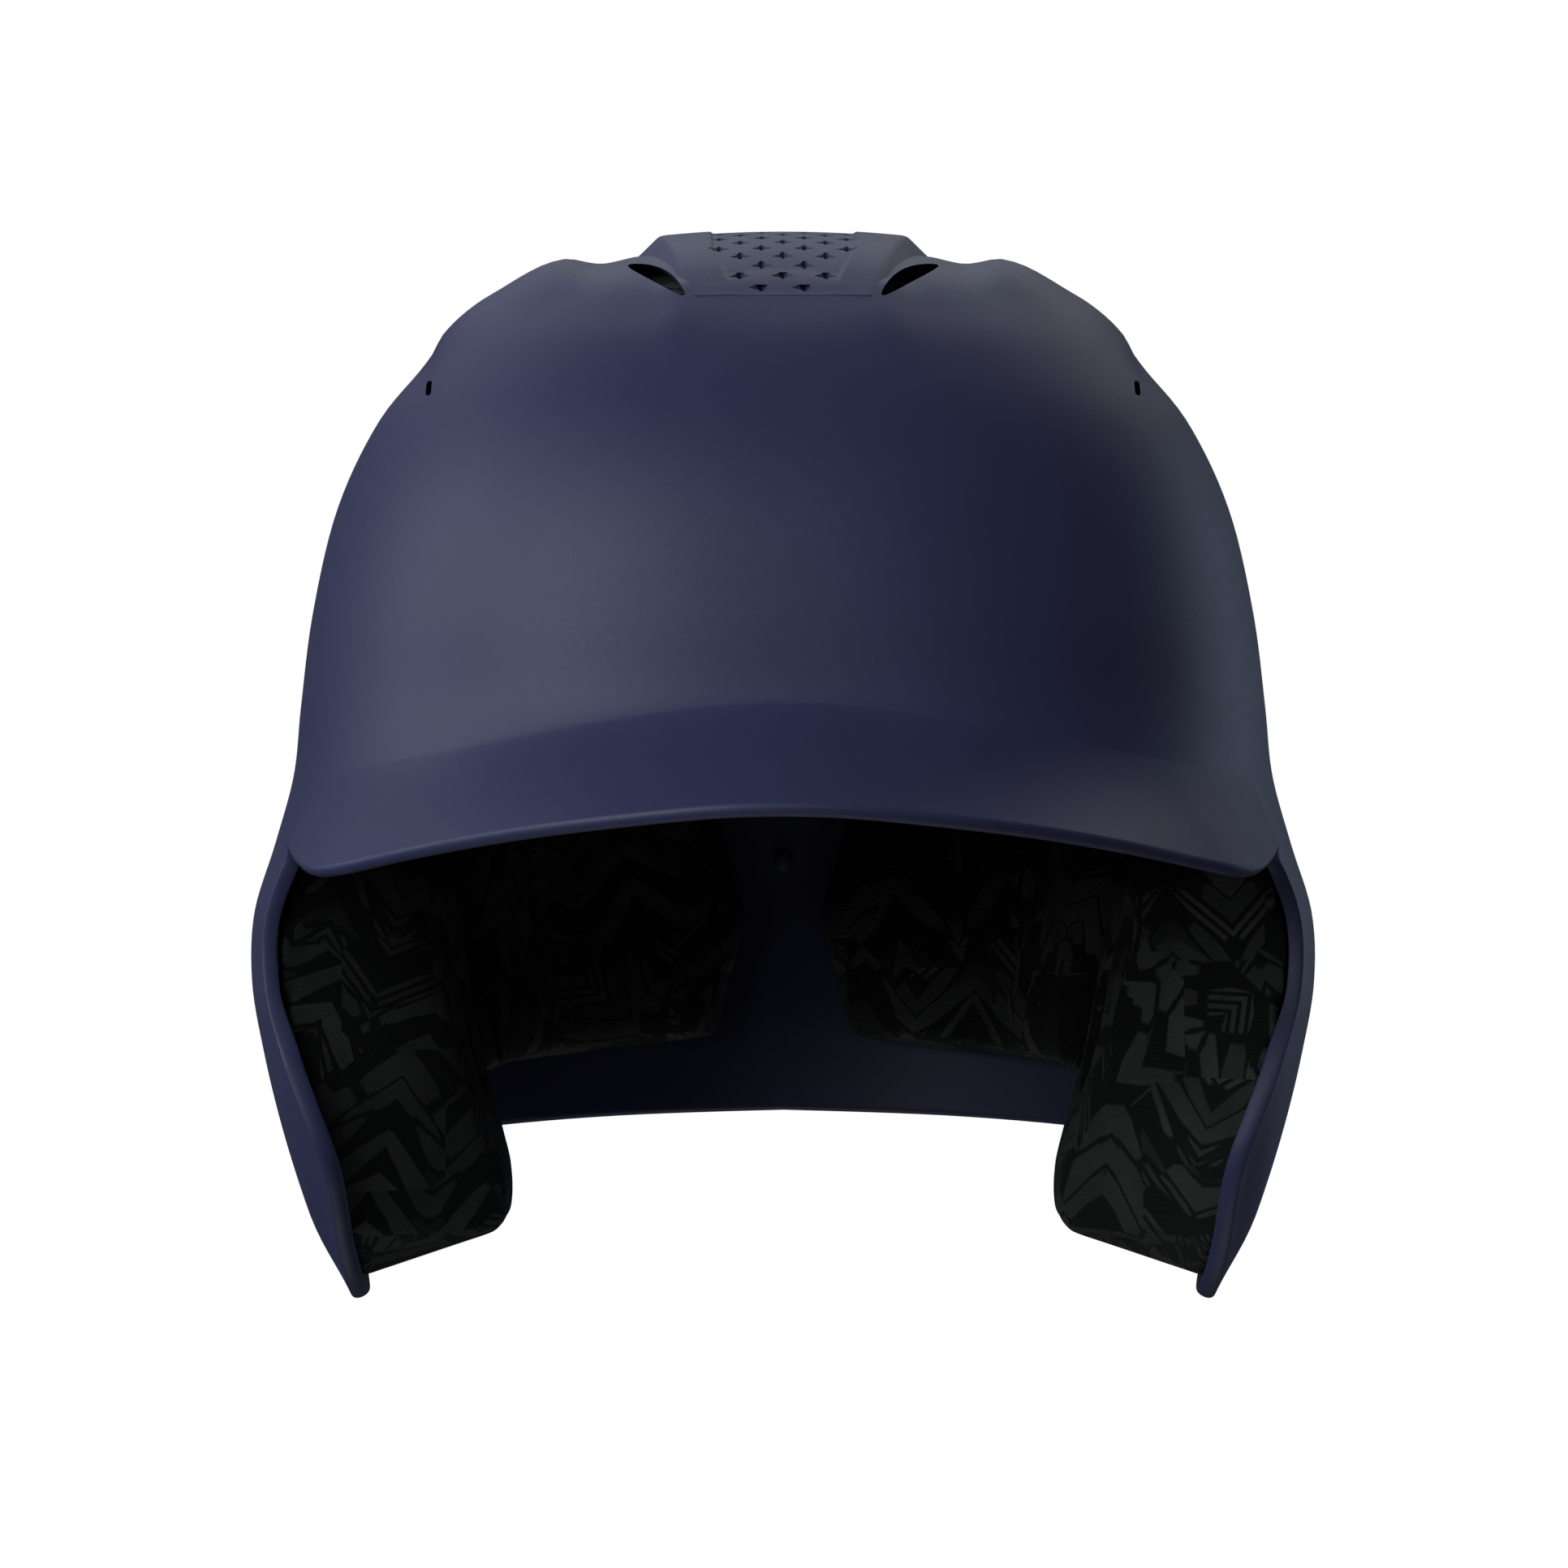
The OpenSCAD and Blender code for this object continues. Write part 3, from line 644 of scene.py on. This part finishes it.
class Nodes:
    """Short calls for making and linking a material's nodes."""

    def __init__(self, tree):
        self.tree = tree

    def add(self, kind, **inputs):
        node = self.tree.nodes.new(kind)
        for key, value in inputs.items():
            self.set(node, key, value)
        return node

    def set(self, node, key, value):
        """Links or sets a socket, given by its label with _ for a space, or by i and its number."""
        socket = node.inputs[int(key[1:])] if key[0] == "i" and key[1:].isdigit() else \
            node.inputs[key.replace("_", " ")]
        if isinstance(value, bpy.types.NodeSocket):
            self.tree.links.new(value, socket)
        else:
            socket.default_value = value

    def math(self, operation, a, b=0.0):
        node = self.tree.nodes.new("ShaderNodeMath")
        node.operation = operation
        self.set(node, "i0", a)
        self.set(node, "i1", b)
        return node.outputs[0]

    def vector(self, operation, a, b=None):
        node = self.tree.nodes.new("ShaderNodeVectorMath")
        node.operation = operation
        self.set(node, "i0", a)
        if b is not None:
            self.set(node, "i1", b)
        return node.outputs[0]

    def blend(self, a, b, share):
        """A value between a and b."""
        return self.math("ADD", self.math("MULTIPLY", a, self.math("SUBTRACT", 1.0, share)),
                         self.math("MULTIPLY", b, share))

    def colour_mix(self, share, a, b):
        node = self.tree.nodes.new("ShaderNodeMix")
        node.data_type = "RGBA"
        # Of the node's sockets, these take the share and the two colours
        for key, value in (("i0", share), ("i6", a), ("i7", b)):
            self.set(node, key, value)
        return node.outputs[2]

    def span(self, value, low, high, to_low=0.0, to_high=1.0):
        """Maps low..high to another range, clamped."""
        node = self.tree.nodes.new("ShaderNodeMapRange")
        for key, v in zip(("i0", "i1", "i2", "i3", "i4"), (value, low, high, to_low, to_high)):
            self.set(node, key, v)
        return node.outputs[0]


def object_coords(n):
    return n.add("ShaderNodeTexCoord").outputs["Object"]


# The scales of noise and cells count their features in a metre
def noise(n, vector, scale, detail=2.0, roughness=0.5):
    node = n.add("ShaderNodeTexNoise", Vector=vector, Scale=scale, Detail=detail, Roughness=roughness)
    return node.outputs["Fac"]


def bump(n, bsdf, height, strength, distance, below=None):
    """Gives a shader fine relief, on top of the relief below it if there is any."""
    node = n.add("ShaderNodeBump", Height=height, Strength=strength, Distance=distance)
    if below is not None:
        n.set(node, "Normal", below)
    n.set(bsdf, "Normal", node.outputs[0])
    return node.outputs[0]


def shell_plastic():
    """Matt navy ABS: fine moulded grain, faint cloudiness, and a painted highlight that makes its edges a
    little lighter in patches.
    """
    m, tree, bsdf = material("navy_shell")
    n = Nodes(tree)
    where = object_coords(n)
    cloud = noise(n, where, 14, 3)
    grain = noise(n, where, 1500, 2)
    base = n.colour_mix(n.span(cloud, 0.35, 0.65), (0.022, 0.026, 0.076, 1), (0.025, 0.029, 0.083, 1))
    edge = n.add("ShaderNodeNewGeometry").outputs["Pointiness"]
    # Painted highlight: the colour is lighter on sharp outward edges, in patches of noise
    painted_edge_highlight = n.math("MULTIPLY", n.span(edge, 0.53, 0.62), n.span(noise(n, where, 160, 4), 0.4, 0.7))
    colour = n.colour_mix(n.math("MULTIPLY", painted_edge_highlight, 0.35), base, (0.04, 0.046, 0.11, 1))
    n.set(bsdf, "Base Color", colour)
    rough = n.math("ADD", n.span(cloud, 0.3, 0.7, 0.50, 0.56), n.span(grain, 0.3, 0.7, -0.03, 0.03))
    n.set(bsdf, "Roughness", rough)
    bsdf.inputs["IOR"].default_value = 1.5
    bsdf.inputs["Specular IOR Level"].default_value = 0.4
    bump(n, bsdf, grain, 0.12, 0.0002)
    return m


def cloth_coords(n, x, y, z):
    """Places on the cloth, in metres, along the two axes that its surface lies nearest to."""
    facing = n.vector("ABSOLUTE", n.add("ShaderNodeNewGeometry").outputs["Normal"])
    nx, ny, nz = n.add("ShaderNodeSeparateXYZ", Vector=facing).outputs
    level = n.math("GREATER_THAN", nz, 0.75)
    # The jaw pads' front walls lie half way between two axes, and belong with the front
    sideways = n.math("GREATER_THAN", nx, n.math("MULTIPLY", ny, 2.0))
    sideways = n.math("MULTIPLY", sideways, n.math("SUBTRACT", 1.0, level))
    return n.add("ShaderNodeCombineXYZ", X=n.blend(x, y, sideways), Y=n.blend(z, y, level)).outputs[0]


def angular_cells(n, where, scale):
    """Cells with straight and slanting edges: random colours, and the gap between two cells."""
    near, far = (n.add("ShaderNodeTexVoronoi", Vector=where, Scale=scale) for _ in range(2))
    for node, feature in ((near, "F1"), (far, "F2")):
        node.voronoi_dimensions, node.distance, node.feature = "2D", "CHEBYCHEV", feature
    gap = n.math("SUBTRACT", far.outputs["Distance"], near.outputs["Distance"])
    return n.add("ShaderNodeSeparateColor", Color=near.outputs["Color"]).outputs, gap


def rotate(n, where, angle):
    """Turns flat coordinates by an angle in radians."""
    turn = n.add("ShaderNodeVectorRotate", Vector=where, Angle=angle)
    turn.rotation_type = "Z_AXIS"
    return turn.outputs[0]


def shards(n, flat):
    """A print of angular bars, which bend into chevrons and turn another way in each patch."""
    patch, _ = angular_cells(n, flat, 40.0)
    turned = rotate(n, flat, n.span(patch[0], 0, 1, -1.0, 1.0))
    # The print is folded on parallel lines, and its bars bend where they meet one
    x, y, _ = n.add("ShaderNodeSeparateXYZ", Vector=turned).outputs
    folded = n.add("ShaderNodeCombineXYZ", X=n.math("PINGPONG", x, 0.013), Y=y).outputs[0]
    slanted = rotate(n, folded, n.span(patch[1], 0, 1, 0.55, 0.95))
    pick, gap = angular_cells(n, n.vector("MULTIPLY", slanted, (1.0, 0.2, 1.0)), 235.0)
    across = n.add("ShaderNodeSeparateXYZ", Vector=slanted).outputs[0]
    # One bar in five is cut into stripes 1.85 mm apart
    stripe = n.span(n.math("SINE", n.math("MULTIPLY", across, 3400.0)), -0.35, 0.0)
    stripe = n.math("MAXIMUM", stripe, n.math("LESS_THAN", pick[1], 0.8))
    tone = n.span(pick[0], 0.36, 0.40, 0.0, n.span(pick[2], 0, 1, 0.4, 1.0))
    return n.math("MULTIPLY", n.math("MULTIPLY", n.span(gap, 0.07, 0.15), stripe), tone)


def pad_fabric():
    """Black knit with a charcoal print and a fine weave."""
    m, tree, bsdf = material("pad_fabric")
    n = Nodes(tree)
    where = object_coords(n)
    x, y, z = n.add("ShaderNodeSeparateXYZ", Vector=where).outputs
    flat = cloth_coords(n, x, y, z)
    rub = n.span(noise(n, where, 55, 4, 0.7), 0.32, 0.62, 0.6, 1.0)
    print_share = n.math("MULTIPLY", shards(n, flat), rub)
    colour = n.colour_mix(print_share, (0.0062, 0.0067, 0.0065, 1), (0.05, 0.05, 0.05, 1))
    n.set(bsdf, "Base Color", colour)
    # Radians a metre: one rib of the knit each 1.2 mm
    ribs = 5200.0
    weave = n.math("MULTIPLY", n.math("SINE", n.math("MULTIPLY", n.math("ADD", x, y), ribs)),
                   n.math("SINE", n.math("MULTIPLY", z, ribs)))
    n.set(bsdf, "Roughness", n.span(weave, -1, 1, 0.72, 0.92))
    bsdf.inputs["Sheen Weight"].default_value = 0.03
    bsdf.inputs["Sheen Roughness"].default_value = 0.5
    bsdf.inputs["Specular IOR Level"].default_value = 0.08
    low = bump(n, bsdf, weave, 0.35, 0.0002)
    bump(n, bsdf, print_share, 0.25, 0.0002, low)
    return m


def foam(name, dark, light, scale):
    """Foam: tiny pits, lighter in faint clouds."""
    m, tree, bsdf = material(name)
    n = Nodes(tree)
    where = object_coords(n)
    cells = n.add("ShaderNodeTexVoronoi", Vector=where, Scale=scale).outputs["Distance"]
    cloud = noise(n, where, 60, 3)
    n.set(bsdf, "Base Color", n.colour_mix(n.math("MULTIPLY", cells, cloud), dark, light))
    n.set(bsdf, "Roughness", n.span(cells, 0, 1, 0.75, 0.95))
    bump(n, bsdf, cells, 0.5, 0.0004)
    return m


def tape(name, colour, tufts, strength):
    """Hook or loop tape: close tufts in nearly even rows, lighter at their middles."""
    m, tree, bsdf = material(name)
    n = Nodes(tree)
    where = object_coords(n)
    tuft = n.add("ShaderNodeTexVoronoi", Vector=where, Scale=tufts, Randomness=0.35).outputs["Distance"]
    lighter = tuple(min(1, c * 2.2) for c in colour[:3]) + (1,)
    n.set(bsdf, "Base Color", n.colour_mix(n.span(tuft, 0.2, 0.7), lighter, colour))
    n.set(bsdf, "Roughness", n.span(noise(n, where, 900, 2), 0.3, 0.7, 0.7, 0.95))
    bump(n, bsdf, tuft, strength, 0.0006)
    return m


def paint(o, m):
    o.data.materials.clear()
    o.data.materials.append(m)


# ---------------------------------------------------------------- camera, light and floor
def set_camera():
    """A long lens from 1.7 m in front, level, at about half the helmet's height."""
    cam = bpy.data.objects.new("camera", bpy.data.cameras.new("camera"))
    bpy.context.scene.collection.objects.link(cam)
    cam.location = (0.0002, -1.695, 0.113)
    cam.rotation_euler = (math.radians(90), 0, 0)
    cam.data.lens, cam.data.sensor_width = 177.4, 36
    cam.data.clip_end = 50
    bpy.context.scene.camera = cam


def area(name, at, aim, size, power, colour):
    light = bpy.data.objects.new(name, bpy.data.lights.new(name, "AREA"))
    light.data.shape, light.data.size, light.data.size_y = "RECTANGLE", *size
    light.data.energy, light.data.color = power, colour
    light.location = at
    light.visible_camera = False
    light.rotation_euler = (Vector(aim) - Vector(at)).to_track_quat("-Z", "Y").to_euler()
    bpy.context.scene.collection.objects.link(light)


def set_lights():
    """Soft boxes: two on the picture's left, weak ones behind on its right and below, one on top."""
    cool = (0.94, 0.97, 1.0)
    area("key", (-1.2, -1.5, 0.85), (0, 0, 0.15), (1.5, 1.5), 31, cool)
    area("side", (-1.75, 0.0, 0.85), (0, 0, 0.13), (1.2, 1.6), 14, cool)
    area("rim", (1.35, 1.0, 0.3), (0, 0, 0.1), (0.9, 1.2), 4.0, (0.6, 0.73, 1.0))
    area("top", (0.1, 1.3, 1.35), (0, 0, 0.2), (2.2, 0.9), 8.6, (0.88, 0.93, 1.0))
    area("below", (0, 0.05, -1.4), (0, 0, 0.1), (1.0, 1.0), 2.5, cool)


def set_world():
    """White where it is seen, and only a dim light on the helmet."""
    scene = bpy.context.scene
    world = bpy.data.worlds.new("studio")
    world.use_nodes = True
    w = Nodes(world.node_tree)
    seen = w.add("ShaderNodeLightPath").outputs["Is Camera Ray"]
    dim = w.add("ShaderNodeBackground", Color=(1, 1, 1, 1), Strength=0.09)
    white = w.add("ShaderNodeBackground", Color=(1, 1, 1, 1), Strength=1.0)
    both = w.add("ShaderNodeMixShader", i0=seen, i1=dim.outputs[0], i2=white.outputs[0])
    w.set(world.node_tree.nodes["World Output"], "Surface", both.outputs[0])
    scene.world = world
    scene.view_settings.view_transform = "Standard"


def white_floor():
    """A matt floor, which is white where it is seen and throws little light back up."""
    m, tree, bsdf = material("floor")
    n = Nodes(tree)
    tint = n.span(noise(n, object_coords(n), 3, 2), 0.3, 0.7)
    n.set(bsdf, "Base Color", n.colour_mix(tint, (0.22, 0.22, 0.22, 1), (0.24, 0.24, 0.24, 1)))
    bsdf.inputs["Roughness"].default_value = 0.9
    seen = n.add("ShaderNodeLightPath").outputs["Is Camera Ray"]
    glow = n.add("ShaderNodeEmission", Color=(1, 1, 1, 1), Strength=1.03)
    share = n.math("MULTIPLY", seen, 0.97)
    both = n.add("ShaderNodeMixShader", i0=share, i1=bsdf.outputs[0], i2=glow.outputs[0])
    n.set(tree.nodes["Material Output"], "Surface", both.outputs[0])
    return m


def set_floor():
    """A floor well below, so that the helmet can be looked at from underneath.

    It curves up into a backdrop a long way behind.
    """
    low, front, bend, r, top, side = -2400, -5000, 3000, 1500, 6000, 5000
    profile = [(front, low), (bend, low)]
    profile += [(bend + r * math.sin(a), low + r - r * math.cos(a)) for a in np.radians(range(6, 91, 6))]
    profile += [(bend + r, top)]
    points = [(x, y, z) for x in (-side, side) for y, z in profile]
    k = len(profile)
    floor = make("floor", points, [(i, i + k, i + k + 1, i + 1) for i in range(k - 1)])
    paint(floor, white_floor())


# ---------------------------------------------------------------- putting it together
PADS = [("brow", "brow", 1), ("crown", "crown", 1), ("temple_left", "temple", 1),
        ("temple_right", "temple", -1), ("jaw_left", "jaw", 1), ("jaw_right", "jaw", -1),
        ("rear_left", "rear", 1), ("rear_right", "rear", -1)]

set_camera()
set_lights()
set_world()
set_floor()

shell = finish_shell()
paint(shell, shell_plastic())
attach(shell, "root")
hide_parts("outer_shell")

fabric = pad_fabric()
firm = foam("firm_foam", (0.012, 0.012, 0.013, 1), (0.05, 0.05, 0.052, 1), scale=900)
soft = foam("comfort_foam", (0.03, 0.03, 0.032, 1), (0.09, 0.09, 0.095, 1), scale=1400)
for name, kind, side in PADS:
    block = slab(f"{name}_block", kind, side, depth=COVER + SOFT, back_depth=None,
                 margin=COVER + 0.4, rounding=3.0, cells=(20, 14))
    layer = slab(f"{name}_comfort_layer", kind, side, depth=COVER + 0.6, back_depth=COVER + SOFT,
                 margin=COVER + 1.4, rounding=4.0, cells=(24, 16))
    if kind == "jaw":
        open_ear(block, side, COVER)
        open_ear(layer, side, COVER)
    skin_piece = cover(kind, side, f"{name}_fabric")
    for piece, node, look, slot_name, fill in (
            (block, "firm_foam", firm, "firm_foam", 1.0),
            (layer, "comfort_foam", soft, "comfort_foam", 0.9),
            (skin_piece, "cover", fabric, "pad_fabric", 0.8)):
        shade(piece, 50)
        paint(piece, look)
        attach(piece, "root")
        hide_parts(f"{name}_{node}")

hooks = tape("hook_tape", (0.012, 0.012, 0.012, 1), tufts=700, strength=0.8)
loops = tape("loop_tape", (0.014, 0.014, 0.015, 1), tufts=1300, strength=0.5)
paint(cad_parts["hook_patches"], hooks)
paint(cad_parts["loop_patches"], loops)
